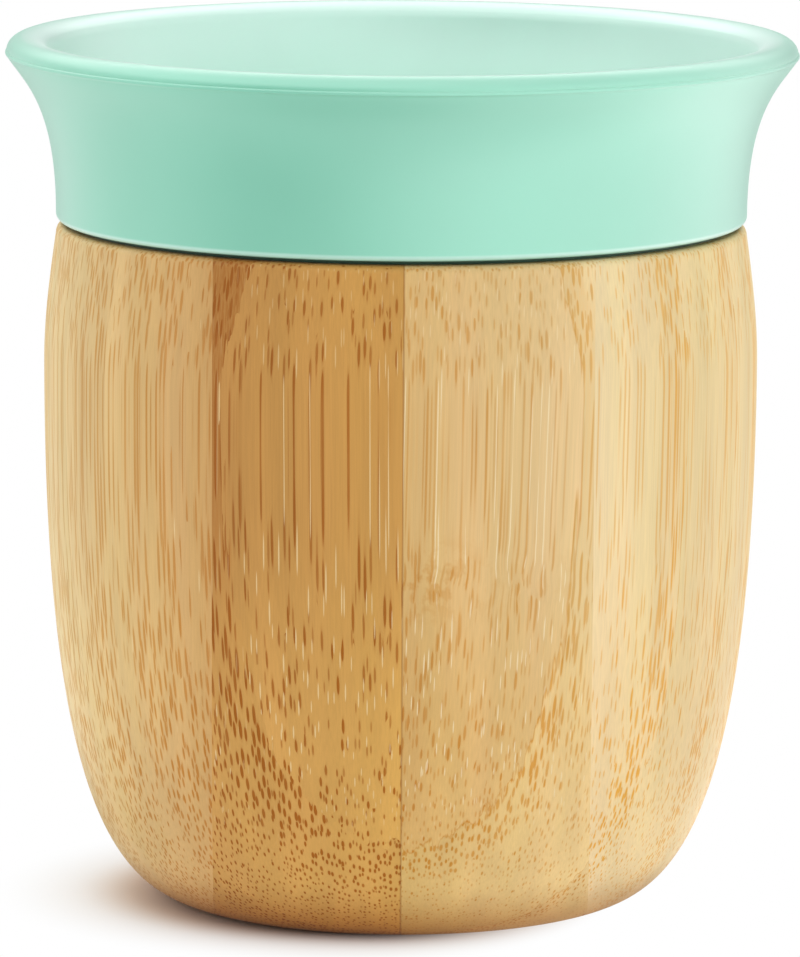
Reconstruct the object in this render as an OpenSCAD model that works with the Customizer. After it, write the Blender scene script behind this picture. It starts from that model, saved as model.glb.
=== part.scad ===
// Bamboo cup with a soft flared drinking liner.
// The shell is turned from a block glued up from four upright bamboo planks.
// The liner drops into the shell's bore, hangs by its flange on the rim and
// lifts straight out for washing. Z is the turning axis and the foot is at 0.

/* [Shell] */
// Height of the turned shell, from the foot to the rim
shell_h = 69; // [62:0.1:78]
// Outer diameter at the widest part of the belly
belly_d = 72.2; // [68:0.1:78]
// How far the rim draws in from the belly, all round
rim_tuck = 1.2; // [0.3:0.1:2]
// Diameter of the flat foot, out to where the corner starts to rise
foot_d = 40; // [34:0.5:46]
// Wall at the rim
shell_wall = 5.1; // [4:0.1:7]
// Bamboo left under the bore
floor_t = 9; // [7:0.5:13]
// Round on both edges of the rim
rim_edge_r = 0.9; // [0.3:0.1:1.5]
// Lean of the bore's wall, in degrees, so that the liner comes free
bore_draft = 1.5; // [0.5:0.1:2.5]
// Radius of the bore's bottom corner
bore_corner_r = 12; // [8:0.5:15]
// Diameter of the hollow turned into the foot
recess_d = 26; // [18:0.5:30]
// Depth of the hollow in the foot
recess_depth = 0.8; // [0.4:0.1:1.5]

/* [Planks] */
// Width of the glued block beyond the belly, turned away at its sides
turning_stock = 2.6; // [1:0.1:6]
// Distance of the middle glue line from the axis
block_shift = 0.3; // [0:0.1:2]

/* [Liner] */
// Height of the soft band that stands above the shell
band_h = 18.9; // [14:0.1:24]
// Outer diameter of the drinking lip
lip_d = 80; // [77:0.5:86]
// Wall of the liner inside the shell
liner_wall = 2; // [1.5:0.1:2.6]
// Floor of the liner
liner_floor = 2.4; // [1.6:0.1:4]
// Wall of the flared band below the lip
flare_wall = 2.3; // [2:0.1:2.6]
// Width of the rounded lip, from its crest to its edge
bead_w = 1.8; // [1.4:0.1:2.4]
// Height of the rounded lip, from its widest part to its crest
bead_h = 1.4; // [1.1:0.1:2]
// Width of the lip's inner round, from its crest to the mouth
mouth_round = 2.5; // [2:0.1:3]
// Set-back of the band from the shell's rim
band_inset = 0; // [0:0.1:0.8]
// Round on the band's lower edge
band_edge_r = 0.7; // [0.3:0.1:0.8]
// Height of the shadow gap between the band's edge and the shell's rim
seam_gap = 0.4; // [0.1:0.05:0.6]
// Depth of the shadow gap, in from the band's side
seam_depth = 1.5; // [0.8:0.1:2.5]

/* [Fit] */
// Gap between the liner's wall and the bore
wall_gap = 0.35; // [0.25:0.05:0.6]
// Gap between a grip rib's crest and the bore
rib_gap = 0.05; // [0.05:0.01:0.1]
// Gap under the liner's floor
floor_gap = 0.5; // [0.3:0.1:1]
// Number of grip ribs round the liner
rib_count = 3; // [1:1:4]
// Width of one grip rib
rib_w = 1.6; // [1.2:0.1:2]
// Distance from one grip rib to the next
rib_pitch = 5; // [3:0.5:6]
// Distance of the first grip rib below the rim
first_rib_depth = 5; // [4:0.5:7]

/* [Hidden] */

bamboo_tones = ["burlywood", "tan", "burlywood", "wheat"];
silicone_tone = [0.60, 0.86, 0.75];

// Steps along a long curve, a corner arc and a small round
curve_steps = 18;
corner_steps = 10;
round_steps = 5;
rib_steps = 6;
// Sides that every turned surface gets in a preview
turn_fn = 144;
// Overrun of the plank cutters past the turned block
overrun = 2;

// Shares that shape the shell's side: where the belly is widest, how far the
// side and the bottom corner keep their direction, and how the shoulder leans
belly_height_share = 0.80;
side_reach_share = 0.82;
corner_reach_share = 0.55;
shoulder_reach_share = 0.33;
shoulder_lean_share = 0.5;

// Shares that shape the flared band, outside and inside
flare_start_share = 0.70;
flare_end_share = 0.15;
flare_lean_share = 0.30;
throat_start_share = 0.46;
throat_reach_share = 0.45;
mouth_lean_share = 0.3;
mouth_drop_share = 1.7;

// Angle round the lip at which its inner round runs out into the flare's inside
mouth_turn = 160;
// The moulding line round the widest part of the lip
parting_out = 0.12;
parting_h = 0.4;

belly_r = belly_d / 2;
rim_r = belly_r - rim_tuck;
foot_r = foot_d / 2;
recess_r = recess_d / 2;
belly_z = shell_h * belly_height_share;
shoulder_z = shell_h - rim_edge_r;
bore_r = rim_r - shell_wall;
plank_w = (belly_d + turning_stock) / 4;

cup_h = shell_h + band_h;
lip_r = lip_d / 2;
band_r = rim_r - band_inset;
neck_r = bore_r - wall_gap;
throat_r = neck_r - liner_wall;
liner_base_z = floor_t + floor_gap;
liner_floor_z = liner_base_z + liner_floor;
crest_r = lip_r - bead_w;
bead_z = cup_h - bead_h;
rib_out = wall_gap - rib_gap;

// Points of a cubic curve through a and d, with handles b and c
function curve(a, b, c, d, steps) =
    [for (i = [0:steps]) let (t = i / steps, s = 1 - t)
        s*s*s*a + 3*s*s*t*b + 3*s*t*t*c + t*t*t*d];

// Points of an arc with half-widths rx and rz, from angle a0 to a1
function arc(centre, rx, rz, a0, a1, steps) =
    [for (i = [0:steps]) let (a = a0 + (a1 - a0) * i / steps)
        centre + [rx * cos(a), rz * sin(a)]];

// Radius of a leaning wall at height z, for a wall that has radius top_r at the rim
function wall_r(top_r, z) = top_r - (shell_h - z) * tan(bore_draft);

// Height at which a corner of radius r, on a floor at floor_z, meets the leaning wall
function corner_top(floor_z, r) = floor_z + r * (1 - sin(bore_draft));

// A cup's bottom: floor centre, corner arc, and the foot of the leaning wall
function cup_bottom(top_r, floor_z, r) =
    let (centre_r = wall_r(top_r, corner_top(floor_z, r)) - r * cos(bore_draft))
    concat([[0, floor_z]],
           arc([centre_r, floor_z + r], r, r, -90, -bore_draft, corner_steps));

// A list of points from its last to its first
function reversed(points) = [for (i = [len(points) - 1:-1:0]) points[i]];

// Outside of the shell, from the foot's centre up to the rim's outer edge
shell_outside = concat(
    [[0, recess_depth]],
    arc([recess_r - recess_depth, 0], recess_depth, recess_depth, 90, 0, round_steps),
    curve([foot_r, 0],
          [foot_r + (belly_r - foot_r) * corner_reach_share, 0],
          [belly_r, belly_z * (1 - side_reach_share)],
          [belly_r, belly_z], curve_steps),
    curve([belly_r, belly_z],
          [belly_r, belly_z + (shoulder_z - belly_z) * shoulder_reach_share],
          [rim_r + (belly_r - rim_r) * shoulder_lean_share,
           shoulder_z - (shoulder_z - belly_z) * shoulder_reach_share],
          [rim_r, shoulder_z], round_steps),
    arc([rim_r - rim_edge_r, shoulder_z], rim_edge_r, rim_edge_r, 0, 90, round_steps));

// Bore of the shell, from its floor's centre up to the rim's inner edge
shell_bore = concat(
    cup_bottom(bore_r, floor_t, bore_corner_r),
    arc([bore_r + rim_edge_r, shoulder_z], rim_edge_r, rim_edge_r, 180, 90, round_steps));

// A half wave of rib on the liner's wall, centred at height z
function rib(z) =
    [for (i = [0:rib_steps]) let (a = 180 * i / rib_steps,
                                  at = z - rib_w / 2 * cos(a))
        [wall_r(neck_r, at) + rib_out * sin(a), at]];

// Outside of the liner inside the shell, with the lowest rib first
liner_neck = concat(
    cup_bottom(neck_r, liner_base_z, bore_corner_r - wall_gap),
    [for (n = [rib_count - 1:-1:0])
        each rib(shell_h - first_rib_depth - n * rib_pitch)],
    [[neck_r, shell_h]]);

// Outside of the band: seat, shadow gap, lower edge, flare, moulding line and the lip's round
seat_r = band_r - seam_depth;
flare_foot_z = shell_h + seam_gap + band_edge_r;
edge_r = lip_r - parting_out;
flare_top = [edge_r, bead_z - parting_h];
flare_rise = flare_top[1] - flare_foot_z;
flare_out = flare_top[0] - band_r;
flare_handle = [band_r, flare_foot_z + flare_rise * flare_start_share];
liner_band = concat(
    [[seat_r, shell_h], [seat_r + seam_gap, shell_h + seam_gap]],
    arc([band_r - band_edge_r, flare_foot_z], band_edge_r, band_edge_r, -90, 0, round_steps),
    curve([band_r, flare_foot_z],
          flare_handle,
          flare_top - [flare_out * flare_lean_share, flare_rise * flare_end_share],
          flare_top, curve_steps),
    [flare_top + [parting_out, parting_h / 2]],
    arc([crest_r, bead_z], edge_r - crest_r, bead_h, 0, 90, corner_steps));

// Inside of the liner: floor, corner, throat, and the flare up to the lip's crest
mouth_at = [crest_r + mouth_round * cos(mouth_turn), bead_z + bead_h * sin(mouth_turn)];
throat_z = shell_h - band_h * throat_start_share;
throat_rise = bead_z - throat_z;
liner_inside = concat(
    cup_bottom(throat_r, liner_floor_z, bore_corner_r - wall_gap - liner_wall),
    curve([wall_r(throat_r, throat_z), throat_z],
          [wall_r(throat_r, throat_z), throat_z + throat_rise * throat_reach_share],
          flare_handle - flare_wall * [mouth_lean_share, mouth_drop_share],
          mouth_at, curve_steps),
    arc([crest_r, bead_z], mouth_round, bead_h, mouth_turn, 90, round_steps));

module turned(outline) {
    rotate_extrude($fn = turn_fn) polygon(outline);
}

module shell_block() {
    turned(concat(shell_outside, reversed(shell_bore)));
}

// One plank of the block, counted from the left; the outer two are as wide as the belly needs
module plank(n) {
    low = n == 0 ? -belly_r - overrun : block_shift + (n - 2) * plank_w;
    high = n == 3 ? belly_r + overrun : block_shift + (n - 1) * plank_w;
    color(bamboo_tones[n])
        intersection() {
            shell_block();
            translate([low, -belly_r - overrun, -overrun])
                cube([high - low, 2 * (belly_r + overrun), shell_h + 2 * overrun]);
        }
}

module liner() {
    color(silicone_tone)
        turned(concat(liner_neck, liner_band, reversed(liner_inside)));
}

plank(0);  // plank_left_outer
plank(1);  // plank_left_inner
plank(2);  // plank_right_inner
plank(3);  // plank_right_outer
liner();
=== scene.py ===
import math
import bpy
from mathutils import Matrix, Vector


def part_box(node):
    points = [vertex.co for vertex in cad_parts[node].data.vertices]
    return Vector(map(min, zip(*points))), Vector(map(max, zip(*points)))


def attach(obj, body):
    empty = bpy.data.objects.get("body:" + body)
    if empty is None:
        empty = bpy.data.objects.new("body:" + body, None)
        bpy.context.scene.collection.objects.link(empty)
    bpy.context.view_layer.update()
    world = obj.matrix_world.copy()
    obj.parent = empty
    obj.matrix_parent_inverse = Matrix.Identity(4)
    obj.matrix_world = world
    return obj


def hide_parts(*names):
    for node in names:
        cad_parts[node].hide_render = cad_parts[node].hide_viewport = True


bl_info = {
    "name": "Bamboo Cup",
    "version": (1, 0, 0),
    "blender": (4, 5, 0),
    "location": "3D View > Sidebar > Bamboo Cup",
    "description": "Dresses a turned bamboo cup and its lift-out silicone liner",
    "category": "Add Mesh",
}

import bmesh
import bpy
from bpy.props import FloatProperty, FloatVectorProperty, IntProperty, PointerProperty
from mathutils import Euler, Vector

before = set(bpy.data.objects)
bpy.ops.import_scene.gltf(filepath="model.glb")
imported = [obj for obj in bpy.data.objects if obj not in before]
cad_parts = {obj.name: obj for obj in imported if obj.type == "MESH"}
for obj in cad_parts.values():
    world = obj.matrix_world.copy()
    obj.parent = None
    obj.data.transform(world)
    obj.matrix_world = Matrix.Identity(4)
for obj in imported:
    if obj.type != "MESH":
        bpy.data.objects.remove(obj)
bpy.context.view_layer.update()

MM = 0.001
PLANKS = ("plank_left_outer", "plank_left_inner", "plank_right_inner", "plank_right_outer")
SHELL_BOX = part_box("plank_left_inner")
LINER_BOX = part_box("liner")

WHITE = (1.0, 1.0, 1.0, 1.0)
# Multiplies a vector to lay it level
LEVEL = (1.0, 1.0, 0.0)


# Sizes and colours that a user would change

def length(name, description, size, precision=4):
    """A length setting, given in mm and kept in metres."""
    return FloatProperty(name=name, description=description, default=size * MM,
                         unit="LENGTH", precision=precision)


def swatch(name, description, value):
    """A colour setting, given as red, green and blue."""
    return FloatVectorProperty(name=name, description=description, default=(*value, 1.0),
                               subtype="COLOR", size=4)


class ShellSizes(bpy.types.PropertyGroup):
    """Sizes of the turned shell that the frame's boxes don't give"""

    foot_radius: length("Foot radius", "Radius of the flat foot", 20)
    rim_tuck: length("Rim tuck", "How far the rim draws in from the belly", 1.2)
    rim_round: length("Rim round", "Radius on both edges of the rim", 0.9)
    wall: length("Wall", "Wall at the rim", 5.1)
    floor: length("Floor", "Bamboo left under the bore", 9)
    bore_corner: length("Bore corner", "Radius of the bore's bottom corner", 12)
    draft: FloatProperty(
        name="Draft", description="Lean of the bore's wall",
        default=math.radians(1.5), subtype="ANGLE")
    recess_radius: length("Recess radius", "Radius of the hollow in the foot", 13)
    recess_depth: length("Recess depth", "Depth of the hollow in the foot", 0.8)
    sides: IntProperty(
        name="Sides", description="Facets round the turned shell",
        default=320, min=24, max=720)


class LinerSizes(bpy.types.PropertyGroup):
    """Sizes of the silicone liner that the frame's boxes don't give"""

    wall: length("Wall", "Wall inside the shell", 2)
    floor: length("Floor", "Floor of the liner", 2.4)
    gap: length("Gap", "Gap between the liner and the bore", 0.35, precision=5)
    flare_wall: length("Flare wall", "Wall of the flared band below the lip", 2.3)
    lip_width: length("Lip width", "From the lip's crest to its edge", 1.8)
    lip_height: length("Lip height", "From the lip's edge to its crest", 1.4)
    mouth_round: length("Mouth round", "From the lip's crest to the mouth", 2.5)
    band_inset: length("Band inset", "Set-back of the band from the shell's rim", 0.0, precision=5)
    band_round: length("Band round", "Round on the band's lower edge", 0.7, precision=5)
    seam_gap: length("Seam gap", "Height of the shadow gap under the band", 0.4, precision=5)
    seam_depth: length("Seam depth", "Depth of the shadow gap under the band", 1.5)
    ribs: IntProperty(
        name="Grip ribs", description="Grip ribs round the liner inside the shell",
        default=3, min=0, max=4)
    sides: IntProperty(
        name="Sides", description="Facets round the liner",
        default=320, min=24, max=720)


class Finishes(bpy.types.PropertyGroup):
    """Colours of the bamboo and the silicone"""

    plank_left_outer: swatch("Left outer plank", "Its ground colour", (0.64, 0.38, 0.155))
    plank_left_inner: swatch("Left inner plank", "Its ground colour", (0.535, 0.270, 0.077))
    plank_right_inner: swatch("Right inner plank", "Its ground colour", (0.78, 0.51, 0.222))
    plank_right_outer: swatch("Right outer plank", "Its ground colour", (0.93, 0.695, 0.37))
    fibre_honey: swatch("Honey fibres", "Tint of the palest fibres over the ground", (0.91, 0.59, 0.15))
    fibre_brown: swatch("Brown fibres", "Tint of the darkest fibres over the ground", (0.57, 0.32, 0.07))
    pith: swatch("Pith", "Colour of the pale streaks beside the fibres", (0.91, 0.72, 0.39))
    silicone: swatch("Silicone", "Colour of the liner", (0.227, 0.62, 0.457))
    # Painted light on the silicone: the paler colour inside the mouth and along the band's lower edge
    silicone_painted_light: swatch("Silicone painted light", "Paler colour inside the mouth", (0.65, 0.905, 0.815))


class Studio(bpy.types.PropertyGroup):
    """Camera and light"""

    distance: length("Distance", "From the cup's axis to the camera, level", 835)
    height: length("Height", "Of the camera above the table", 171.5)
    pitch: FloatProperty(
        name="Pitch", description="How far the camera looks down",
        default=math.radians(8.76), subtype="ANGLE")
    roll: FloatProperty(
        name="Roll", description="Turn of the camera about its own axis",
        default=math.radians(0.325), subtype="ANGLE")
    focal_pixels: FloatProperty(
        name="Focal length", description="In pixels of the 957 high picture",
        default=8317.8)


# Building node trees

class Sheet:
    """Adds nodes to a tree from left to right and links them."""

    def __init__(self, tree):
        self.tree = tree
        self.count = 0

    def add(self, kind, inputs=None, **settings):
        node = self.tree.nodes.new(kind)
        node.location = (200 * (self.count % 12), -260 * (self.count // 12))
        self.count += 1
        for name, value in settings.items():
            setattr(node, name, value)
        for key, value in (inputs or {}).items():
            self.feed(node.inputs[key], value)
        return node

    def feed(self, socket, value):
        if isinstance(value, bpy.types.NodeSocket):
            self.tree.links.new(value, socket)
        else:
            socket.default_value = value

    def math(self, operation, *values):
        node = self.add("ShaderNodeMath", dict(enumerate(values)), operation=operation)
        return node.outputs[0]

    def times(self, product, *factors):
        for factor in factors:
            product = self.math("MULTIPLY", product, factor)
        return product

    def vector(self, operation, *values):
        node = self.add("ShaderNodeVectorMath", dict(enumerate(values)), operation=operation)
        return node.outputs[0]

    def dot(self, a, b):
        node = self.add("ShaderNodeVectorMath", {0: a, 1: b}, operation="DOT_PRODUCT")
        return node.outputs[1]

    def scaled(self, vector, factor):
        node = self.add("ShaderNodeVectorMath", {0: vector, "Scale": factor}, operation="SCALE")
        return node.outputs[0]

    def combine(self, x, y, z):
        return self.add("ShaderNodeCombineXYZ", {0: x, 1: y, 2: z}).outputs[0]

    def separate(self, vector):
        return self.add("ShaderNodeSeparateXYZ", {0: vector}).outputs

    def ramp(self, value, low, high, to_low=0.0, to_high=1.0):
        node = self.add("ShaderNodeMapRange",
                        {0: value, 1: low, 2: high, 3: to_low, 4: to_high},
                        interpolation_type="SMOOTHSTEP")
        return node.outputs[0]

    def between(self, value, start, full, fade, end):
        """One from full to fade, and zero below start and above end."""
        return self.times(self.ramp(value, start, full), self.ramp(value, fade, end, 1.0, 0.0))

    def mix(self, factor, a, b, blend="MIX"):
        node = self.add("ShaderNodeMix", {0: factor, 6: a, 7: b},
                        data_type="RGBA", blend_type=blend)
        return node.outputs[2]

    def shaded(self, color, shade):
        return self.mix(1.0, color, shade, "MULTIPLY")

    def noise(self, place, rate, detail=2.0, roughness=0.5, scale=1.0):
        """Noise that changes at a rate given for each axis."""
        node = self.add("ShaderNodeTexNoise",
                        {"Vector": self.vector("MULTIPLY", place, rate), "Scale": scale,
                         "Detail": detail, "Roughness": roughness})
        return node.outputs

    def cells(self, place, rate, randomness=1.0):
        """Upright cells: distance from the middle, and a colour drawn for each."""
        node = self.add("ShaderNodeTexVoronoi",
                        {"Vector": self.vector("MULTIPLY", place, rate), "Scale": 1.0,
                         "Randomness": randomness},
                        voronoi_dimensions="2D", feature="F1")
        return node.outputs

    def chance(self, value):
        return self.add("ShaderNodeTexWhiteNoise", {"W": value},
                        noise_dimensions="1D").outputs[0]


def new_group(name, kind, sockets):
    """A node group with named inputs and outputs, given as (name, socket type, default)."""
    tree = bpy.data.node_groups.new(name, kind)
    for side, entries in sockets.items():
        for label, socket_type, default in entries:
            socket = tree.interface.new_socket(label, in_out=side, socket_type=socket_type)
            if default is not None:
                socket.default_value = default
    return tree


def new_material(name):
    """A material without nodes, and the sheet that fills it."""
    material = bpy.data.materials.new(name)
    material.use_nodes = True
    material.node_tree.nodes.clear()
    return material, Sheet(material.node_tree)


# Bamboo

FIGURE_COLORS = ("Ground", "Fibre tint", "Pith", "Left painted light", "Right painted light", "Back shade",
                 "Low shade", "Low left shade")
# Numbers that the figure takes, and their values for a plank that doesn't set them.
# Edges, strips and heights are in mm.
FIGURE_NUMBERS = {
    "Left edge": -9.0, "Right edge": 9.0, "Left line": 0.0, "Right line": 0.0,
    "Strip start": 0.0, "Strip thickness": 8.0, "Strip line": 0.0,
    "Dense part": 0.5, "Dense stain": 0.08, "Far tone": 1.0, "Contrast": 1.0,
    "Crowd": 0.6, "Back crowd": 0.6, "Speckle": 0.2, "Pale streaks": 0.5,
    "Lean": 0.0, "Node height": 40.0, "Node strength": 0.0, "Seed": 0.0,
}
FIGURE_SOCKETS = {
    "INPUT": [(name, "NodeSocketColor", WHITE) for name in FIGURE_COLORS]
             + [(name, "NodeSocketFloat", value) for name, value in FIGURE_NUMBERS.items()],
    "OUTPUT": [("Color", "NodeSocketColor", WHITE), ("Roughness", "NodeSocketFloat", 0.5),
               ("Height", "NodeSocketFloat", 0.0)],
}

# How often each pattern changes in a mm, across the planks, in depth and upwards
FRINGE_RATE = (1.6, 1.6, 0.05)
WANDER_RATE = (0.05, 0.05, 0.025)
SWERVE_RATE = (0.30, 0.30, 0.22)
GROUP_RATE = (0.35, 0.35, 0.0)
WIDE_BUNDLE_RATE = (1.9, 2.4, 0.0)
FINE_BUNDLE_RATE = (2.6, 2.8, 0.0)
VESSEL_RATE = (2.2, 1.5, 0.0)
GRAIN_RATE = (1.0, 0.7, 0.015)
GRAIN_SCALE = 6.0
CLOUD_RATE = (0.30, 0.22, 0.02)
FADE_RATE = (0.8, 0.8, 0.12)
MARK_RATE = (0.55, 0.55, 0.40)

# Heights in mm between which the figure changes
SMALL_BUNDLE_HEIGHTS = (6.0, 20.0)
GROUP_HEIGHTS = (8.0, 24.0)
VESSEL_HEIGHTS = (8.0, 22.0)
FADED_VESSEL_HEIGHTS = (54.0, 64.0)
LOW_SHADE_HEIGHTS = (20.0, 47.0)
# Heights over which the painted shadow at the foot fades out
FOOT_PAINTED_SHADOW_HEIGHTS = (0.3, 7.0)
BOLD_FIBRE_HEIGHTS = (14.0, 42.0)
DENSE_STAIN_HEIGHTS = (30.0, 52.0)

# Sizes in mm: how far the fringe of a strip goes in and out, how far fibres wander, how
# far the node's band reaches, and where its marks thin out from the plank's left side
FRINGE_DEPTH = 0.22
WANDER = 0.9
NODE_REACH = 6.0
MARK_SPREAD = (3.0, 10.0)
# How far the pattern is shifted across at most from strip to strip, and in depth from
# plank to plank for each unit of the seed
STRIP_SHIFT = 57.0
SEED_SHIFT = 13.0
# Radii as shares of a cell: of a wide bundle in loose and in dense wood, of a fine
# bundle, and of the narrowest and the widest vessel
WIDE_RADII = (0.25, 0.33)
FINE_RADIUS = 0.24
VESSEL_RADII = (0.11, 0.17)
# Distances in mm from a glue line, of planks or of strips, over which it fades
PLANK_LINE = (0.04, 0.14)
STRIP_LINE = (0.0, 0.10)

# What the painted shadow at the foot, the glue and the two hues of cloud multiply the wood by
FOOT_PAINTED_SHADOW = (0.60, 0.42, 0.25, 1.0)
GLUE_SHADE = (0.45, 0.30, 0.20, 1.0)
WARM_CLOUD = (1.01, 0.99, 1.0, 1.0)
YELLOW_CLOUD = (1.0, 1.0, 0.97, 1.0)


class BambooFigure:
    """The figure inside a plank: upright fibre bundles, dense at one side of each strip.

    The pattern fills the block, so a face that cuts the fibres lengthwise shows long
    streaks and one that cuts them across shows dots, as on the turned cup.
    """

    def __init__(self):
        self.tree = new_group("bamboo_figure", "ShaderNodeTree", FIGURE_SOCKETS)
        self.sheet = Sheet(self.tree)
        self.given = self.sheet.add("NodeGroupInput").outputs
        coordinate = self.sheet.add("ShaderNodeTexCoord").outputs["Object"]
        self.place = self.sheet.scaled(coordinate, 1 / MM)
        self.x, self.y, self.z = self.sheet.separate(self.place)[:3]
        self.from_left = self.sheet.math("SUBTRACT", self.x, self.given["Left edge"])
        self.find_strips()
        self.find_fibres()

    def find_strips(self):
        """Numbers the glued strips by depth, and says where their fibres are dense."""
        sheet = self.sheet
        given = self.given
        fringe = sheet.ramp(sheet.noise(self.place, FRINGE_RATE)[0], 0.3, 0.7,
                            -FRINGE_DEPTH, FRINGE_DEPTH)
        strip = sheet.math("SUBTRACT", sheet.math("ADD", self.y, fringe), given["Strip start"])
        self.strip = sheet.math("DIVIDE", strip, given["Strip thickness"])
        self.number = sheet.math("FLOOR", self.strip)
        self.back = sheet.math("GREATER_THAN", self.number, -0.5)
        self.strip_chance = sheet.chance(sheet.math("ADD", self.number, given["Seed"]))
        depth = sheet.math("FRACT", self.strip)
        self.dense = sheet.ramp(sheet.math("DIVIDE", depth, given["Dense part"]),
                                0.5, 1.0, 1.0, 0.0)

    def find_fibres(self):
        """Follows the fibres, which wander with height and swerve at the culm's node."""
        sheet = self.sheet
        given = self.given
        from_node = sheet.math("ABSOLUTE", sheet.math("SUBTRACT", self.z, given["Node height"]))
        self.band = sheet.times(sheet.ramp(from_node, 0.0, NODE_REACH, 1.0, 0.0),
                                given["Node strength"])
        wander = sheet.scaled(self.drift(WANDER_RATE), WANDER)
        swerve = sheet.scaled(self.drift(SWERVE_RATE), sheet.times(self.band, WANDER))
        moved = sheet.vector("ADD", sheet.vector("ADD", self.place, wander), swerve)
        leaning = sheet.combine(sheet.times(self.z, given["Lean"]), 0.0, 0.0)
        moved = sheet.vector("SUBTRACT", moved, leaning)
        shift = sheet.combine(sheet.times(self.strip_chance, STRIP_SHIFT),
                              sheet.times(given["Seed"], SEED_SHIFT), 0.0)
        self.fibres = sheet.vector("ADD", moved, shift)

    def drift(self, rate):
        """A slow change of place, as much one way as the other."""
        noise = self.sheet.noise(self.place, rate, 1.0)[1]
        return self.sheet.vector("SUBTRACT", noise, (0.5, 0.5, 0.5))

    def bundles(self, rate, keep, radius):
        """Strength of the fibre bundles of one size: the core and the stain round it."""
        sheet = self.sheet
        cell = sheet.cells(self.fibres, rate, 0.75)
        rolled = sheet.separate(cell[1])
        kept = sheet.math("LESS_THAN", rolled[0], keep)
        size = sheet.times(radius, sheet.ramp(rolled[1], 0.0, 1.0, 0.8, 1.15),
                           sheet.ramp(self.z, *SMALL_BUNDLE_HEIGHTS, 0.78, 1.0))
        away = sheet.math("DIVIDE", cell[0], size)
        power = sheet.math("MAXIMUM", self.dense, sheet.ramp(rolled[2], 0.0, 1.0, 0.75, 1.0))
        power = sheet.times(kept, power)
        core = sheet.times(sheet.ramp(away, 0.75, 1.10, 1.0, 0.0), power)
        stain = sheet.times(sheet.ramp(away, 0.9, 1.9, 1.0, 0.0), power)
        return core, stain

    def all_bundles(self):
        """Wide bundles in loose groups, and fine ones between them."""
        sheet = self.sheet
        given = self.given
        groups = sheet.ramp(sheet.noise(self.fibres, GROUP_RATE, 1.0)[0], 0.38, 0.62, 0.3, 1.7)
        groups = sheet.times(sheet.ramp(self.z, *GROUP_HEIGHTS),
                             sheet.math("SUBTRACT", groups, 1.0))
        crowd = sheet.ramp(self.back, 0.0, 1.0, given["Crowd"], given["Back crowd"])
        crowd = sheet.times(crowd, sheet.math("ADD", 1.0, groups))
        wide, wide_stain = self.bundles(WIDE_BUNDLE_RATE,
                                        sheet.ramp(self.dense, 0.0, 0.6, crowd, 0.9),
                                        sheet.ramp(self.dense, 0.0, 0.6, *WIDE_RADII))
        fine, fine_stain = self.bundles(FINE_BUNDLE_RATE, given["Speckle"], FINE_RADIUS)
        core = sheet.math("MAXIMUM", wide, sheet.times(fine, 0.6))
        return core, sheet.math("MAXIMUM", wide_stain, fine_stain)

    def vessels(self):
        """Pale open vessels between the bundles."""
        sheet = self.sheet
        cell = sheet.cells(self.fibres, VESSEL_RATE)
        rolled = sheet.separate(cell[1])
        kept = sheet.math("LESS_THAN", rolled[2], self.given["Pale streaks"])
        radius = sheet.ramp(rolled[1], 0.0, 1.0, *VESSEL_RADII)
        vessel = sheet.ramp(sheet.math("DIVIDE", cell[0], radius), 0.7, 1.2, 1.0, 0.0)
        return sheet.times(vessel, kept, sheet.ramp(self.dense, 0.2, 0.8, 1.0, 0.25),
                           sheet.ramp(self.z, *FADED_VESSEL_HEIGHTS, 1.0, 0.4),
                           sheet.ramp(self.z, *VESSEL_HEIGHTS))

    def ground(self, grain):
        """Colour of the wood between the fibres: plank, strip, clouds, grain and height, with painted
        light across the plank and painted shadow at the foot.
        """
        sheet = self.sheet
        given = self.given
        clouds, hues = sheet.noise(self.fibres, CLOUD_RATE)[:2]
        far = sheet.math("GREATER_THAN", sheet.times(self.number, given["Strip thickness"]),
                         0.5)
        tone = sheet.times(sheet.ramp(self.strip_chance, 0.0, 1.0, 0.99, 1.01),
                           sheet.ramp(clouds, 0.25, 0.75, 0.93, 1.055),
                           sheet.ramp(grain, 0.25, 0.75, 0.955, 1.045),
                           sheet.ramp(far, 0.0, 1.0, 1.0, given["Far tone"]))
        width = sheet.math("SUBTRACT", given["Right edge"], given["Left edge"])
        across = sheet.math("DIVIDE", self.from_left, width)
        inside = sheet.math("MINIMUM", sheet.math("MAXIMUM", across, 0.0), 1.0)
        # Painted light: each plank is made paler or darker from its left side to its right, as the lamps
        # fall on it
        shade = sheet.mix(inside, given["Left painted light"], given["Right painted light"])
        hue = sheet.mix(sheet.ramp(sheet.separate(hues)[1], 0.3, 0.7), WARM_CLOUD, YELLOW_CLOUD)
        ground = sheet.shaded(sheet.scaled(given["Ground"], tone), shade)
        ground = sheet.mix(self.back, ground, sheet.shaded(ground, given["Back shade"]))
        low = sheet.mix(sheet.ramp(across, 0.0, 0.7), given["Low left shade"], WHITE)
        low = sheet.shaded(low, given["Low shade"])
        low = sheet.mix(sheet.ramp(self.z, *LOW_SHADE_HEIGHTS), low, WHITE)
        # Painted shadow: the wood is darkened towards the foot, where it meets the table
        foot = sheet.mix(sheet.ramp(self.z, *FOOT_PAINTED_SHADOW_HEIGHTS), FOOT_PAINTED_SHADOW, WHITE)
        return sheet.shaded(ground, sheet.shaded(hue, sheet.shaded(low, foot)))

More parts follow.
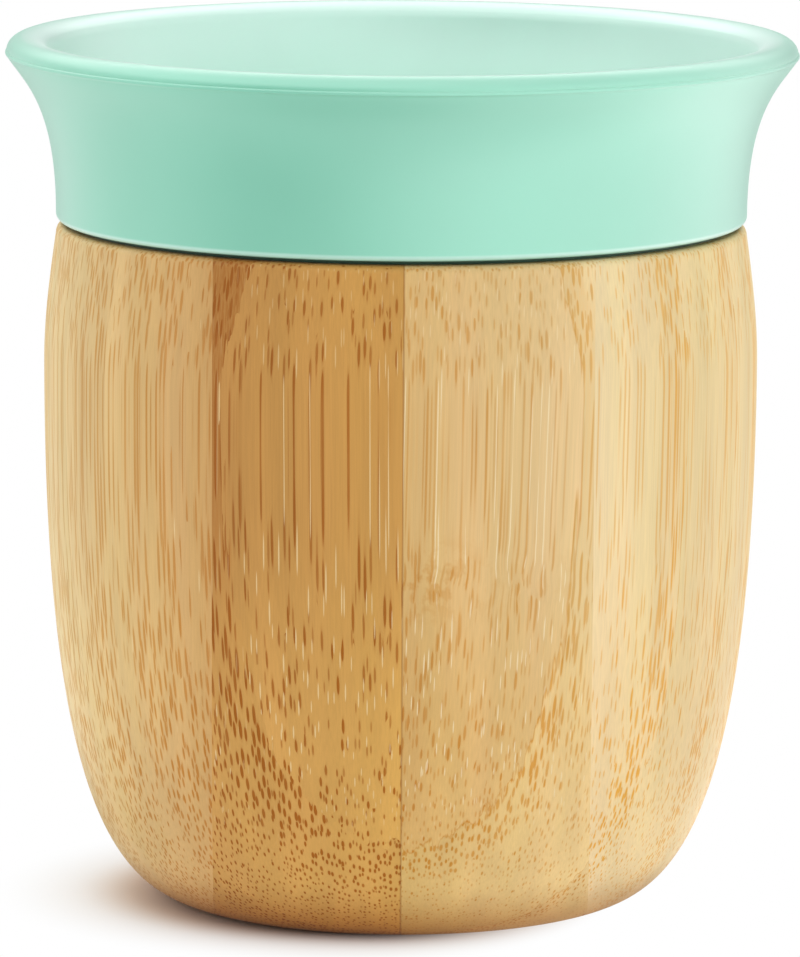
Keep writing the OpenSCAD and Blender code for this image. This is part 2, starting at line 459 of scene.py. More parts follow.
    def with_fibres(self, ground, fibre, grain, core, stain, vessel):
        """Lays the bundles, their stain and the vessels over the ground."""
        sheet = self.sheet
        given = self.given
        fade = sheet.noise(self.fibres, FADE_RATE, 1.0)[0]
        contrast = sheet.times(given["Contrast"], sheet.ramp(fade, 0.3, 0.7, 0.75, 1.0),
                               sheet.ramp(self.z, *BOLD_FIBRE_HEIGHTS, 1.35, 1.0))
        dense_stain = sheet.times(self.dense, given["Dense stain"],
                                  sheet.ramp(self.z, *DENSE_STAIN_HEIGHTS, 0.08, 1.0))
        stain = sheet.math("MAXIMUM", sheet.times(stain, 0.28), dense_stain)
        stain = sheet.times(stain, sheet.ramp(grain, 0.3, 0.7, 0.55, 1.3), given["Contrast"])
        color = sheet.mix(stain, ground, fibre)
        color = sheet.mix(sheet.times(core, contrast), color, fibre)
        return sheet.mix(sheet.times(vessel, 0.6), color, given["Pith"])

    def with_marks(self, color, fibre):
        """Adds brown marks at the node, most of them near the plank's left side."""
        sheet = self.sheet
        mark = sheet.ramp(sheet.noise(self.place, MARK_RATE, 3.0, 0.6)[0], 0.50, 0.62)
        mark = sheet.times(mark, sheet.ramp(self.from_left, *MARK_SPREAD, 1.0, 0.15),
                           self.band, 0.45)
        return sheet.mix(mark, color, fibre)

    def line(self, distance, span, strength):
        """A thin upright line where a distance is zero."""
        near = self.sheet.ramp(self.sheet.math("ABSOLUTE", distance), *span, 1.0, 0.0)
        return self.sheet.times(near, strength)

    def with_strip_lines(self, color, fibre):
        """Adds the glue lines between the strips of a plank."""
        sheet = self.sheet
        from_line = sheet.times(sheet.math("PINGPONG", self.strip, 0.5),
                                self.given["Strip thickness"])
        return sheet.mix(self.line(from_line, STRIP_LINE, self.given["Strip line"]),
                         color, fibre)

    def plank_lines(self):
        """Glue lines at the plank's sides."""
        sheet = self.sheet
        given = self.given
        from_right = sheet.math("SUBTRACT", self.x, given["Right edge"])
        return sheet.math("MAXIMUM", self.line(self.from_left, PLANK_LINE, given["Left line"]),
                          self.line(from_right, PLANK_LINE, given["Right line"]))

    def build(self):
        """Joins the parts of the figure, and returns its node tree."""
        sheet = self.sheet
        core, stain = self.all_bundles()
        vessel = self.vessels()
        grain = sheet.noise(self.fibres, GRAIN_RATE, 2.0, 0.6, GRAIN_SCALE)[0]
        ground = self.ground(grain)
        fibre = sheet.shaded(ground, self.given["Fibre tint"])
        color = self.with_fibres(ground, fibre, grain, core, stain, vessel)
        color = self.with_marks(color, fibre)
        color = self.with_strip_lines(color, fibre)
        glue = self.plank_lines()
        color = sheet.mix(glue, color, sheet.shaded(color, GLUE_SHADE))
        height = sheet.math("SUBTRACT", sheet.times(grain, 0.4), core)
        height = sheet.math("SUBTRACT", height, sheet.times(vessel, 0.8))
        height = sheet.math("SUBTRACT", height, sheet.times(glue, 1.5))
        rough = sheet.math("ADD", 0.40, sheet.times(core, 0.08))
        rough = sheet.math("ADD", rough, sheet.times(grain, 0.06))
        sheet.add("NodeGroupOutput", {"Color": color, "Roughness": rough, "Height": height})
        return self.tree


# How each plank's figure differs, sizes in mm. A strip thickness below zero puts the
# dense side of each strip at its back.
PLANK_FIGURES = (
    {"Strip start": -28.3, "Strip thickness": 7.3, "Dense part": 0.95, "Dense stain": 0.06,
     "Left painted light": (1.18, 1.53, 1.76, 1.0), "Right painted light": (0.97, 0.955, 0.87, 1.0),
     "Low shade": (1.06, 1.08, 1.08, 1.0), "Contrast": 0.68, "Crowd": 0.40,
     "Back crowd": 0.5, "Speckle": 0.15, "Pale streaks": 0.10, "Seed": 3.0},
    {"Strip start": -31.6, "Strip thickness": 7.4, "Dense part": 0.42, "Dense stain": 0.55,
     "Left painted light": (0.97, 0.97, 0.95, 1.0), "Right painted light": (1.16, 1.22, 1.08, 1.0),
     "Low shade": (1.15, 1.22, 1.22, 1.0), "Low left shade": (1.05, 1.06, 1.05, 1.0),
     "Far tone": 0.95, "Contrast": 0.92, "Crowd": 0.38, "Back crowd": 0.8,
     "Speckle": 0.2, "Pale streaks": 0.55, "Seed": 11.0, "Right line": 0.5},
    {"Strip start": -31.4, "Strip thickness": 7.8, "Dense part": 0.22, "Dense stain": 0.35,
     "Left painted light": (0.92, 0.93, 0.85, 1.0), "Right painted light": (1.13, 1.26, 1.50, 1.0),
     "Back shade": (1.04, 1.10, 1.14, 1.0), "Low shade": (0.985, 0.92, 0.78, 1.0),
     "Contrast": 0.68, "Crowd": 0.36, "Back crowd": 0.15, "Speckle": 0.5,
     "Pith": (1.0, 0.85, 0.54, 1.0), "Pale streaks": 0.55, "Seed": 23.0, "Lean": 0.03,
     "Strip line": 0.5, "Node height": 38.0, "Node strength": 1.0, "Left line": 0.5},
    {"Strip start": -22.2, "Strip thickness": -9.0, "Dense part": 0.42, "Dense stain": 0.10,
     "Left painted light": (1.02, 1.08, 1.16, 1.0), "Right painted light": (0.88, 0.89, 0.74, 1.0),
     "Low shade": (0.99, 0.955, 0.90, 1.0), "Contrast": 0.85, "Crowd": 0.18,
     "Back crowd": 0.10, "Speckle": 0.5, "Pale streaks": 0.10, "Seed": 37.0},
)
# How far each plank's fibres turn from honey to brown
PLANK_BROWN = (0.5, 1.0, 0.4, 0.05)


def bamboo_material(index, figure, finishes):
    """Lacquered bamboo of one plank."""
    low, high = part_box(PLANKS[index])
    material, sheet = new_material("bamboo_" + PLANKS[index])
    group = sheet.add("ShaderNodeGroup", node_tree=figure)
    tint = Vector(finishes.fibre_honey).lerp(Vector(finishes.fibre_brown), PLANK_BROWN[index])
    values = {
        "Ground": getattr(finishes, PLANKS[index]),
        "Fibre tint": tint,
        "Pith": finishes.pith,
        "Left edge": low.x / MM,
        "Right edge": high.x / MM,
    }
    values.update(PLANK_FIGURES[index])
    for name, value in values.items():
        sheet.feed(group.inputs[name], value)
    bump = sheet.add("ShaderNodeBump", {"Strength": 0.35, "Distance": 0.05 * MM,
                                        "Height": group.outputs["Height"]})
    shader = sheet.add("ShaderNodeBsdfPrincipled", {
        "Base Color": group.outputs["Color"],
        "Roughness": group.outputs["Roughness"],
        "Normal": bump.outputs[0],
        "Specular IOR Level": 0.15,
        "Sheen Weight": 0.05,
        "Sheen Roughness": 0.45,
    })
    sheet.add("ShaderNodeOutputMaterial", {"Surface": shader.outputs[0]})
    return material


# Silicone

# How often the liner's bloom and the grain of its skin change in a mm
BLOOM_RATE = (0.06, 0.06, 0.06)
SKIN_RATE = (6.0, 6.0, 6.0)
# Heights in mm above the foot between which painted light makes the liner's inside paler
PAINTED_LIGHT_HEIGHTS = (66.0, 90.0)
# Heights in mm above the rim: the painted highlight along the band's lower edge, and the painted shadow
# in the gap under it
HIGHLIGHT_HEIGHTS = (0.48, 0.58, 0.80, 1.10)
GAP_SHADOW_HEIGHTS = (-0.1, 0.0, 0.40, 0.50)
GAP_SHADOW_COLOR = (0.003, 0.08, 0.035, 1.0)


def silicone_material(finishes):
    """Matte moulded silicone with a faint bloom, with painted light inside the mouth, a painted
    highlight along the band's lower edge and a painted shadow in the gap under it.
    """
    material, sheet = new_material("silicone")
    coordinates = sheet.add("ShaderNodeTexCoord").outputs
    place = sheet.scaled(coordinates["Object"], 1 / MM)
    z = sheet.separate(place)[2]
    radial = sheet.vector("NORMALIZE", sheet.vector("MULTIPLY", place, LEVEL))
    facing = sheet.dot(coordinates["Normal"], radial)
    bloom = sheet.noise(place, BLOOM_RATE)[0]
    skin = sheet.noise(place, SKIN_RATE)[0]

    # Painted light: the inside of the mouth is made paler, most of all high up
    inward = sheet.ramp(facing, -0.5, 0.3, 1.0, 0.0)
    high = sheet.times(sheet.ramp(z, *PAINTED_LIGHT_HEIGHTS), 0.85)
    painted_light_share = sheet.times(inward, sheet.math("ADD", high, 0.15))
    color = sheet.mix(painted_light_share, finishes.silicone, finishes.silicone_painted_light)
    color = sheet.scaled(color, sheet.ramp(bloom, 0.3, 0.7, 0.98, 1.02))
    rough = sheet.math("ADD", 0.26, sheet.times(bloom, 0.08))

    # A painted highlight makes the band's lower edge pale, and a painted shadow makes the gap under it
    # dark
    outward = sheet.ramp(facing, -0.2, 0.0)
    rim = SHELL_BOX[1].z / MM
    # Painted highlight along the band's lower edge
    edge = sheet.between(z, *[rim + height for height in HIGHLIGHT_HEIGHTS])
    color = sheet.mix(sheet.times(edge, outward, 0.55), color, finishes.silicone_painted_light)
    # Painted shadow: the outward faces in the gap under the band are coloured dark
    gap = sheet.between(z, *[rim + height for height in GAP_SHADOW_HEIGHTS])
    gap = sheet.times(gap, outward)
    color = sheet.mix(gap, color, GAP_SHADOW_COLOR)
    rough = sheet.math("ADD", rough, sheet.times(gap, 0.6))
    bump = sheet.add("ShaderNodeBump", {"Strength": 0.12, "Distance": 0.03 * MM,
                                        "Height": skin})
    shader = sheet.add("ShaderNodeBsdfPrincipled", {
        "Base Color": color,
        "Roughness": rough,
        "Normal": bump.outputs[0],
        "Specular IOR Level": 0.9,
        "Sheen Weight": 0.3,
        "Sheen Roughness": 0.5,
        "Subsurface Weight": 0.15,
        "Subsurface Scale": 1.5 * MM,
        "Subsurface Radius": (0.8, 1.0, 0.9),
    })
    sheet.add("ShaderNodeOutputMaterial", {"Surface": shader.outputs[0]})
    return material


# Outlines, as (radius, height) points from the axis round to the axis again

# Shares that shape the shell's side: where the belly is widest, how far the side and the
# bottom corner keep their direction, and how the shoulder leans
BELLY_HEIGHT_SHARE = 0.80
SIDE_REACH_SHARE = 0.82
CORNER_REACH_SHARE = 0.55
SHOULDER_REACH_SHARE = 0.33
SHOULDER_LEAN_SHARE = 0.5
# Shares that shape the flared band, outside and inside
FLARE_START_SHARE = 0.70
FLARE_END_SHARE = 0.15
FLARE_LEAN_SHARE = 0.30
THROAT_START_SHARE = 0.46
THROAT_REACH_SHARE = 0.45
MOUTH_LEAN_SHARE = 0.3
MOUTH_DROP_SHARE = 1.7
# Angle round the lip, in degrees, at which its inner round runs out into the mouth
MOUTH_TURN = 160
# The moulding line under the lip, and its angle up and down from level in degrees
PARTING_OUT = 0.12 * MM
PARTING_HEIGHT = 0.4 * MM
PARTING_TURN = 60
# The grip ribs
RIB_WIDTH = 1.6 * MM
RIB_OUT = 0.3 * MM
RIB_PITCH = 5 * MM
FIRST_RIB_DEPTH = 5 * MM

# Steps along the outlines' curves and arcs
CORNER_STEPS = 16
RECESS_STEPS = 6
SIDE_STEPS = 56
SHOULDER_STEPS = 14
OUTER_RIM_STEPS = 12
INNER_RIM_STEPS = 8
RIB_STEPS = 8
ROUND_STEPS = 12
FLARE_STEPS = 40
PARTING_STEPS = 4
LIP_STEPS = 24


def curve(a, b, c, d, steps):
    """Points of a cubic curve from a to d with handles b and c."""
    points = []
    for i in range(steps + 1):
        t = i / steps
        s = 1 - t
        points.append(s**3 * a + 3 * s * s * t * b + 3 * s * t * t * c + t**3 * d)
    return points


def arc(centre, width, height, start, end, steps):
    """Points of an arc between two angles in degrees."""
    points = []
    for i in range(steps + 1):
        angle = math.radians(start + (end - start) * i / steps)
        points.append(centre + Vector((width * math.cos(angle), height * math.sin(angle))))
    return points


def leaning_radius(top_radius, z, draft):
    """Radius at height z of a wall that has top_radius at the rim and leans in below it."""
    return top_radius - (SHELL_BOX[1].z - z) * math.tan(draft)


def cup_bottom(top_radius, floor, corner, draft):
    """A cup's inside bottom: the floor's centre and the corner up to the leaning wall."""
    corner_top = floor + corner * (1 - math.sin(draft))
    centre_x = leaning_radius(top_radius, corner_top, draft) - corner * math.cos(draft)
    centre = Vector((centre_x, floor + corner))
    wall = -math.degrees(draft)
    return [Vector((0, floor))] + arc(centre, corner, corner, -90, wall, CORNER_STEPS)


def shell_outline(sizes):
    """The turned shell: foot, corner, belly, shoulder, rim and bore."""
    belly = SHELL_BOX[1].y
    top = SHELL_BOX[1].z
    rim = belly - sizes.rim_tuck
    foot = sizes.foot_radius
    belly_z = top * BELLY_HEIGHT_SHARE
    shoulder = top - sizes.rim_round
    shoulder_reach = (shoulder - belly_z) * SHOULDER_REACH_SHARE
    bore = rim - sizes.wall
    recess = Vector((sizes.recess_radius - sizes.recess_depth, 0))
    return (
        [Vector((0, sizes.recess_depth))]
        + arc(recess, sizes.recess_depth, sizes.recess_depth, 90, 0, RECESS_STEPS)
        + curve(Vector((foot, 0)),
                Vector((foot + (belly - foot) * CORNER_REACH_SHARE, 0)),
                Vector((belly, belly_z * (1 - SIDE_REACH_SHARE))),
                Vector((belly, belly_z)), SIDE_STEPS)
        + curve(Vector((belly, belly_z)),
                Vector((belly, belly_z + shoulder_reach)),
                Vector((rim + (belly - rim) * SHOULDER_LEAN_SHARE, shoulder - shoulder_reach)),
                Vector((rim, shoulder)), SHOULDER_STEPS)[1:]
        + arc(Vector((rim - sizes.rim_round, shoulder)), sizes.rim_round, sizes.rim_round,
              0, 90, OUTER_RIM_STEPS)[1:]
        + arc(Vector((bore + sizes.rim_round, shoulder)), sizes.rim_round, sizes.rim_round,
              90, 180, INNER_RIM_STEPS)
        + cup_bottom(bore, sizes.floor, sizes.bore_corner, sizes.draft)[::-1]
    )


def rib(neck, z, draft):
    """A grip rib's half wave on the liner's wall."""
    points = []
    for i in range(RIB_STEPS + 1):
        angle = math.radians(180 * i / RIB_STEPS)
        at = z - RIB_WIDTH / 2 * math.cos(angle)
        wall = leaning_radius(neck, at, draft)
        points.append(Vector((wall + RIB_OUT * math.sin(angle), at)))
    return points


def liner_outline(shell, sizes):
    """The liner: bottom, ribbed neck, flange, flare, rounded lip and the inside."""
    top = SHELL_BOX[1].z
    rim = SHELL_BOX[1].y - shell.rim_tuck
    draft = shell.draft
    neck = rim - shell.wall - sizes.gap
    throat = neck - sizes.wall
    base = LINER_BOX[0].z
    lip_edge = LINER_BOX[1].z - sizes.lip_height
    crest = LINER_BOX[1].x - sizes.lip_width
    band = rim - sizes.band_inset
    band_foot = top + sizes.seam_gap + sizes.band_round
    edge = LINER_BOX[1].x - PARTING_OUT
    flare_top = Vector((edge, lip_edge - PARTING_HEIGHT))
    rise = flare_top.y - band_foot
    out = flare_top.x - band
    handle = Vector((band, band_foot + rise * FLARE_START_SHARE))
    outside = cup_bottom(neck, base, shell.bore_corner - sizes.gap, draft)
    for n in reversed(range(sizes.ribs)):
        outside += rib(neck, top - FIRST_RIB_DEPTH - n * RIB_PITCH, draft)
    outside += [Vector((neck, top)), Vector((band - sizes.seam_depth, top)),
                Vector((band - sizes.seam_depth + sizes.seam_gap, top + sizes.seam_gap))]
    outside += arc(Vector((band - sizes.band_round, band_foot)), sizes.band_round,
                   sizes.band_round, -90, 0, ROUND_STEPS)
    flare_lean = Vector((out * FLARE_LEAN_SHARE, rise * FLARE_END_SHARE))
    outside += curve(Vector((band, band_foot)), handle, flare_top - flare_lean, flare_top,
                     FLARE_STEPS)[1:]
    outside += arc(flare_top + Vector((0.0, PARTING_HEIGHT / 2)), PARTING_OUT,
                   PARTING_HEIGHT / 2, -PARTING_TURN, PARTING_TURN, PARTING_STEPS)
    outside += arc(Vector((crest, lip_edge)), edge - crest, sizes.lip_height, 0, 90, LIP_STEPS)
    inner_round = arc(Vector((crest, lip_edge)), sizes.mouth_round, sizes.lip_height,
                      90, MOUTH_TURN, ROUND_STEPS)
    throat_z = top - (LINER_BOX[1].z - top) * THROAT_START_SHARE
    throat_top = throat_z + (lip_edge - throat_z) * THROAT_REACH_SHARE
    mouth_lean = sizes.flare_wall * Vector((MOUTH_LEAN_SHARE, MOUTH_DROP_SHARE))
    inside = (
        inner_round[1:]
        + curve(Vector((leaning_radius(throat, throat_z, draft), throat_z)),
                Vector((leaning_radius(throat, throat_top, draft), throat_top)),
                handle - mouth_lean, inner_round[-1], FLARE_STEPS)[::-1][1:]
        + cup_bottom(throat, base + sizes.floor, shell.bore_corner - sizes.gap - sizes.wall,
                     draft)[::-1]
    )
    return outside + inside


# Turning an outline into a solid

# Height and depth in metres of the slab that cuts a plank out of the block
SLAB_REACH = 0.3
# Points that lie closer than this become one, in the tree and in the mesh
TREE_MERGE = 0.001 * MM
MESH_MERGE = 0.0005 * MM
# Edges that bend more than this stay sharp
SHARP_ANGLE = math.radians(40)
# How far the outer planks' cutting planes pass the shell
PLANK_OVERRUN = 5 * MM


def turning_tree():
    """Turns the outline's points about Z, and keeps the part between two upright planes."""
    tree = new_group("turned_solid", "GeometryNodeTree", {
        "INPUT": (
            ("Outline", "NodeSocketGeometry", None),
            ("Sides", "NodeSocketInt", 128),
            ("Low plane", "NodeSocketFloat", -0.1),
            ("High plane", "NodeSocketFloat", 0.1),
            ("Cut", "NodeSocketBool", False),
            ("Material", "NodeSocketMaterial", None),
        ),
        "OUTPUT": (("Solid", "NodeSocketGeometry", None),),
    })
    sheet = Sheet(tree)
    given = sheet.add("NodeGroupInput").outputs
    rows = sheet.add("GeometryNodeAttributeDomainSize", {"Geometry": given["Outline"]},
                     component="MESH").outputs["Point Count"]
    columns = sheet.math("ADD", given["Sides"], 1)
    grid = sheet.add("GeometryNodeMeshGrid", {"Vertices X": columns, "Vertices Y": rows})
    index = sheet.add("GeometryNodeInputIndex").outputs[0]
    row = sheet.math("MODULO", index, rows)
    column = sheet.math("FLOOR", sheet.math("DIVIDE", index, rows))
    point = sheet.add("GeometryNodeSampleIndex", {"Geometry": given["Outline"], "Index": row},
                      data_type="FLOAT_VECTOR", domain="POINT")
    sheet.feed(point.inputs["Value"], sheet.add("GeometryNodeInputPosition").outputs[0])
    radius, _, height = sheet.separate(point.outputs[0])[:3]
    angle = sheet.times(sheet.math("DIVIDE", column, given["Sides"]), math.tau)
    place = sheet.combine(sheet.times(radius, sheet.math("COSINE", angle)),
                          sheet.times(radius, sheet.math("SINE", angle)), height)
    turned = sheet.add("GeometryNodeSetPosition", {"Geometry": grid.outputs[0],
                                                   "Position": place})
    closed = sheet.add("GeometryNodeMergeByDistance", {"Geometry": turned.outputs[0],
                                                       "Distance": TREE_MERGE})
    width = sheet.math("SUBTRACT", given["High plane"], given["Low plane"])
    middle = sheet.times(sheet.math("ADD", given["High plane"], given["Low plane"]), 0.5)
    slab_size = sheet.combine(width, SLAB_REACH, SLAB_REACH)
    slab = sheet.add("GeometryNodeMeshCube", {"Size": slab_size})
    placed = sheet.add("GeometryNodeTransform", {"Geometry": slab.outputs[0],
                                                 "Translation": sheet.combine(middle, 0, 0)})
    cut = sheet.add("GeometryNodeMeshBoolean", operation="INTERSECT", solver="EXACT")
    for mesh in (closed, placed):
        sheet.feed(cut.inputs["Mesh 2"], mesh.outputs[0])
    chosen = sheet.add("GeometryNodeSwitch", {"Switch": given["Cut"],
                                              "False": closed.outputs[0],
                                              "True": cut.outputs[0]}, input_type="GEOMETRY")
    smooth = sheet.add("GeometryNodeSetShadeSmooth", {"Geometry": chosen.outputs[0]})
    real = sheet.add("GeometryNodeRealizeInstances", {"Geometry": smooth.outputs[0]})
    finish = sheet.add("GeometryNodeSetMaterial", {"Geometry": real.outputs[0],
                                                   "Material": given["Material"]})
    sheet.add("NodeGroupOutput", {"Solid": finish.outputs[0]})
    return tree


def turned_piece(name, outline, tree, values):
    """A solid turned from an outline, as a plain mesh object at the origin."""
    source = bpy.data.meshes.new(name + "_outline")
    points = [(point.x, 0, point.y) for point in outline]
    source.from_pydata(points, [(i, i + 1) for i in range(len(points) - 1)], [])
    holder = bpy.data.objects.new(name + "_source", source)
    bpy.context.collection.objects.link(holder)
    modifier = holder.modifiers.new("turning", "NODES")
    modifier.node_group = tree
    for item in tree.interface.items_tree:
        if item.in_out == "INPUT" and item.name in values:
            modifier[item.identifier] = values[item.name]
    evaluated = holder.evaluated_get(bpy.context.evaluated_depsgraph_get())
    mesh = bpy.data.meshes.new_from_object(evaluated)
    mesh.name = name
    holder.modifiers.remove(modifier)
    bpy.data.objects.remove(holder)
    solid = bmesh.new()
    solid.from_mesh(mesh)
    bmesh.ops.remove_doubles(solid, verts=solid.verts, dist=MESH_MERGE)
    if solid.calc_volume(signed=True) < 0:
        bmesh.ops.reverse_faces(solid, faces=solid.faces)
    solid.to_mesh(mesh)
    solid.free()
    mesh.set_sharp_from_angle(angle=SHARP_ANGLE)
    piece = bpy.data.objects.new(name, mesh)
    bpy.context.collection.objects.link(piece)
    return piece


# Operators

class CUP_OT_shell(bpy.types.Operator):
    """Builds the four bamboo planks of the turned shell"""

    bl_idname = "cup.shell"
    bl_label = "Bamboo shell"

    def execute(self, context):
        scene = context.scene
        figure = BambooFigure().build()
        tree = turning_tree()
        outline = shell_outline(scene.cup_shell)
        for index, node in enumerate(PLANKS):
            low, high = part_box(node)
            material = bamboo_material(index, figure, scene.cup_finishes)
            piece = turned_piece("bamboo_" + node, outline, tree, {
                "Sides": scene.cup_shell.sides,
                "Low plane": low.x - (PLANK_OVERRUN if index == 0 else 0),
                "High plane": high.x + (PLANK_OVERRUN if node == PLANKS[-1] else 0),
                "Cut": True,
                "Material": material,
            })
            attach(piece, "shell")
            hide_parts(node)
        return {"FINISHED"}


class CUP_OT_liner(bpy.types.Operator):
    """Builds the silicone liner with its flared band and rounded lip"""

    bl_idname = "cup.liner"
    bl_label = "Silicone liner"

    def execute(self, context):
        scene = context.scene
        outline = liner_outline(scene.cup_shell, scene.cup_liner)
        piece = turned_piece("silicone_liner", outline, turning_tree(), {
            "Sides": scene.cup_liner.sides,
            "Cut": False,
            "Material": silicone_material(scene.cup_finishes),
        })
        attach(piece, "liner")
        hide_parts("liner")
        return {"FINISHED"}


# Level directions to the studio's white cards at the right and at the left
RIGHT_CARD = (0.906, -0.423, 0.0)
LEFT_CARD = (-0.96, 0.29, 0.0)

# Lamps: name, place, the point it faces, size and power, in metres and watts
LAMPS = (
    ("key", (0.70, -0.30, 0.30), (0.0, 0.0, 0.045), 0.70, 0.15),
    ("left_edge", (-0.60, -0.05, 0.25), (0.0, 0.0, 0.045), 0.50, 0.1),
    ("overhead", (0.10, -0.35, 0.70), (0.0, 0.0, 0.08), 0.60, 0.4),
)

# The table's shadow, real where the table is matte and painted darker near the foot: how far its
# middle lies left of and behind the axis, how much shorter it is at the right, the distances in
# metres over which the painted shadow fades and the table turns plain white, and the painted
# shadow's colour and the table's own colour
SHADOW_OFFSET = (5 * MM, -1.2 * MM, 0.0)
SHADOW_SQUEEZE = 1.35
PAINTED_SHADOW_FADE = (0.021, 0.029)
SHADOW_END = (0.021, 0.037)
PAINTED_SHADOW_COLOR = (0.83, 0.73, 0.64, 1.0)
TABLE_COLOR = (0.91, 0.935, 0.96, 1.0)
# How bright the table looks in a reflection beside the cup, and the distances in metres
# over which a painted shade darkens it round the cup's foot and it takes on the cards
TABLE_GLOW = 1.2
FOOT_PAINTED_SHADE_SPAN = (0.035, 0.075)
CARD_SPAN = (0.07, 0.18)
# From the table's middle to its sides, in metres
TABLE_REACH = 3.0

# Of the picture in pixels, and of the camera's sensor in mm
PICTURE_HEIGHT = 957
SENSOR_WIDTH = 36


def area_light(name, place, target, size, power):
    """A soft square lamp that faces a point."""
    data = bpy.data.lights.new(name, "AREA")
    data.size = size
    data.energy = power
    lamp = bpy.data.objects.new(name, data)
    lamp.location = place
    lamp.rotation_euler = (Vector(target) - Vector(place)).to_track_quat("-Z", "Y").to_euler()
    bpy.context.collection.objects.link(lamp)


def card_glow(sheet, direction):
    """How bright the studio's white cards look in a reflection, in a direction."""
    flat = sheet.vector("NORMALIZE", sheet.vector("MULTIPLY", direction, LEVEL))
    right = sheet.ramp(sheet.dot(flat, RIGHT_CARD), -0.2, 1.0, 0.4, 3.75)
    left = sheet.ramp(sheet.dot(flat, LEFT_CARD), 0.5, 0.95, 0.0, 0.8)
    up = sheet.separate(sheet.vector("NORMALIZE", direction))[2]
    above = sheet.ramp(up, 0.20, 0.60)
    beside = sheet.math("SUBTRACT", 1.0, above)
    top = sheet.ramp(up, 0.55, 0.95, 3.0, 2.7)
    return sheet.math("ADD", sheet.times(sheet.math("ADD", right, left), beside),
                      sheet.times(above, top))


def table_material():
    """White table that keeps the cup's shadow, with painted shadow added near the foot, and turns plain
    white further off.
    """
    material, sheet = new_material("white_table")
    place = sheet.add("ShaderNodeTexCoord").outputs["Object"]
    across, along = sheet.separate(sheet.vector("ADD", place, SHADOW_OFFSET))[:2]
    across = sheet.math("MAXIMUM", across, sheet.times(across, SHADOW_SQUEEZE))
    spread = sheet.combine(across, along, 0)
    distance = sheet.add("ShaderNodeVectorMath", {0: spread}, operation="LENGTH").outputs[1]
    path = sheet.add("ShaderNodeLightPath").outputs
    reflected = path["Is Glossy Ray"]
    seen = sheet.math("MAXIMUM", path["Is Camera Ray"], reflected)
    seen = sheet.math("MAXIMUM", seen, path["Is Transmission Ray"])
    far = sheet.ramp(distance, *SHADOW_END)
    away = sheet.ramp(distance, *CARD_SPAN, 0.4, 1.0)
    cards = sheet.math("SUBTRACT", card_glow(sheet, place), TABLE_GLOW)
    glow = sheet.math("ADD", TABLE_GLOW, sheet.times(away, cards))
    # Painted shade: in reflections the table is darker close to the foot
    glow = sheet.times(glow, reflected, sheet.ramp(distance, *FOOT_PAINTED_SHADE_SPAN, 0.15, 1.0))
    plain = sheet.math("SUBTRACT", 1.0, reflected)
    # Painted shadow: seen directly or in reflections, the table is coloured darker near the foot
    painted_shadow = sheet.times(sheet.ramp(distance, *PAINTED_SHADOW_FADE, 1.0, 0.0), seen)
    painted_shadow = sheet.mix(painted_shadow, TABLE_COLOR, PAINTED_SHADOW_COLOR)
    matte = sheet.add("ShaderNodeBsdfDiffuse", {"Color": painted_shadow})
    white = sheet.add("ShaderNodeEmission", {"Color": WHITE,
                                             "Strength": sheet.math("ADD", glow, plain)})
    mixed = sheet.add("ShaderNodeMixShader", {0: far, 1: matte.outputs[0],
                                              2: white.outputs[0]})
    sheet.add("ShaderNodeOutputMaterial", {"Surface": mixed.outputs[0]})
    material.cycles.emission_sampling = "NONE"
    return material


def studio_world():
    """Pale surroundings: white to the eye, white cards in reflections, soft as a light."""
    world = bpy.data.worlds.new("studio")
    bpy.context.scene.world = world
    world.use_nodes = True
    tree = world.node_tree
    tree.nodes.clear()
    sheet = Sheet(tree)
    direction = sheet.add("ShaderNodeTexCoord").outputs["Generated"]
    path = sheet.add("ShaderNodeLightPath").outputs
    plain = sheet.math("MAXIMUM", path["Is Camera Ray"], path["Is Transmission Ray"])
    flat = sheet.vector("NORMALIZE", sheet.vector("MULTIPLY", direction, LEVEL))
    soft = sheet.ramp(sheet.dot(flat, RIGHT_CARD), -0.2, 0.9, 0.91, 0.52)
    up = sheet.separate(sheet.vector("NORMALIZE", direction))[2]
    soft = sheet.times(soft, sheet.ramp(up, 0.3, 0.9, 1.0, 1.35))
    light = sheet.add("ShaderNodeBackground", {"Color": WHITE, "Strength": soft})
    white = sheet.add("ShaderNodeBackground", {"Color": WHITE, "Strength": 1.0})
    cards = sheet.add("ShaderNodeBackground", {"Color": WHITE,
                                               "Strength": card_glow(sheet, direction)})
    mixed = sheet.add("ShaderNodeMixShader", {0: path["Is Glossy Ray"], 1: light.outputs[0],
                                              2: cards.outputs[0]})
    mixed = sheet.add("ShaderNodeMixShader", {0: plain, 1: mixed.outputs[0],
                                              2: white.outputs[0]})
    sheet.add("ShaderNodeOutputWorld", {"Surface": mixed.outputs[0]})
    world.cycles.sampling_method = "NONE"


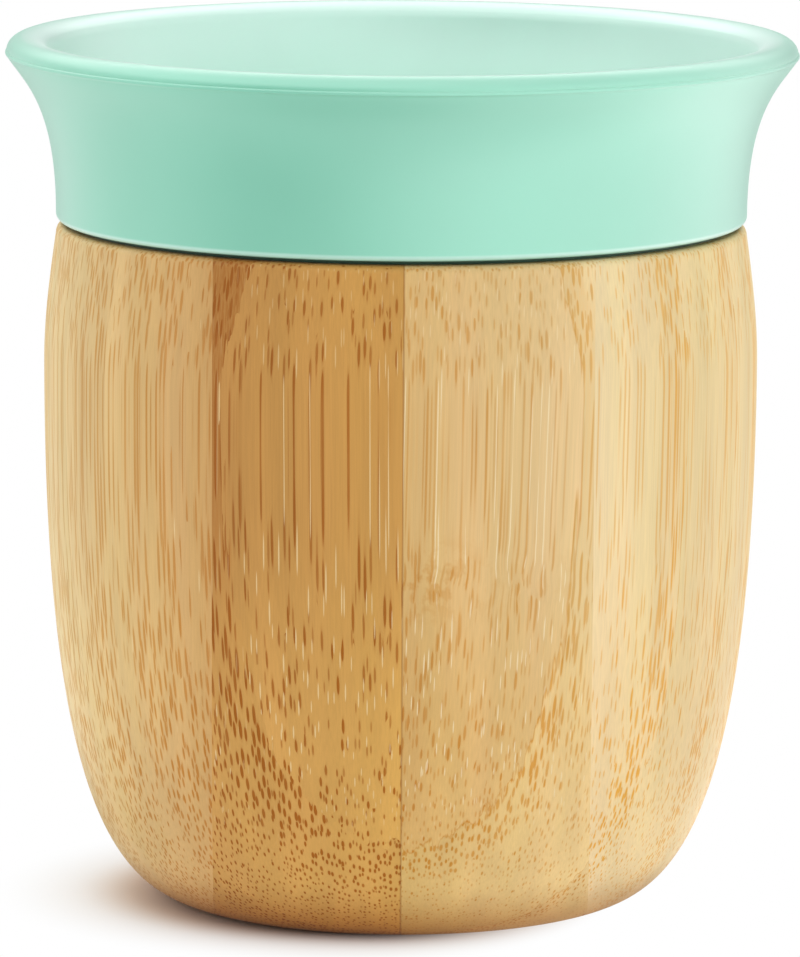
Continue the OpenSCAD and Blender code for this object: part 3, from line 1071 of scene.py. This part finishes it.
class CUP_OT_stage(bpy.types.Operator):
    """Adds the table, the lamps and the camera"""

    bl_idname = "cup.stage"
    bl_label = "Stage and camera"

    def execute(self, context):
        scene = context.scene
        studio = scene.cup_studio
        data = bpy.data.cameras.new("camera")
        data.sensor_width = SENSOR_WIDTH
        data.lens = studio.focal_pixels / PICTURE_HEIGHT * SENSOR_WIDTH
        camera = bpy.data.objects.new("camera", data)
        camera.location = (0, -studio.distance, studio.height)
        tilt = Euler((math.radians(90) - studio.pitch, 0, 0)).to_matrix()
        turn = Euler((0, 0, studio.roll)).to_matrix()
        camera.rotation_euler = (tilt @ turn).to_euler()
        context.collection.objects.link(camera)
        scene.camera = camera

        mesh = bpy.data.meshes.new("table")
        corners = [(-1, -1), (1, -1), (1, 1), (-1, 1)]
        mesh.from_pydata([(x * TABLE_REACH, y * TABLE_REACH, 0) for x, y in corners], [],
                         [(0, 1, 2, 3)])
        table = bpy.data.objects.new("table", mesh)
        mesh.materials.append(table_material())
        context.collection.objects.link(table)

        for lamp in LAMPS:
            area_light(*lamp)
        studio_world()
        scene.view_settings.view_transform = "Standard"
        return {"FINISHED"}


class CUP_PT_panel(bpy.types.Panel):
    """Lists the cup's operators and settings"""

    bl_label = "Bamboo Cup"
    bl_idname = "CUP_PT_panel"
    bl_space_type = "VIEW_3D"
    bl_region_type = "UI"
    bl_category = "Bamboo Cup"

    def draw(self, context):
        for operator in OPERATORS:
            self.layout.operator(operator.bl_idname)
        for name in GROUPS:
            settings = getattr(context.scene, name)
            box = self.layout.box()
            box.label(text=settings.bl_rna.description)
            for prop in settings.bl_rna.properties:
                if prop.identifier not in {"rna_type", "name"}:
                    box.prop(settings, prop.identifier)


OPERATORS = (CUP_OT_shell, CUP_OT_liner, CUP_OT_stage)
GROUPS = {"cup_shell": ShellSizes, "cup_liner": LinerSizes,
          "cup_finishes": Finishes, "cup_studio": Studio}


def register():
    for group in GROUPS.values():
        bpy.utils.register_class(group)
    for name, group in GROUPS.items():
        setattr(bpy.types.Scene, name, PointerProperty(type=group))
    for cls in OPERATORS + (CUP_PT_panel,):
        bpy.utils.register_class(cls)


def unregister():
    for cls in reversed(OPERATORS + (CUP_PT_panel,)):
        bpy.utils.unregister_class(cls)
    for name in GROUPS:
        delattr(bpy.types.Scene, name)
    for group in reversed(GROUPS.values()):
        bpy.utils.unregister_class(group)


def main():
    register()
    bpy.ops.cup.shell()
    bpy.ops.cup.liner()
    bpy.ops.cup.stage()


if __name__ == "__main__":
    main()
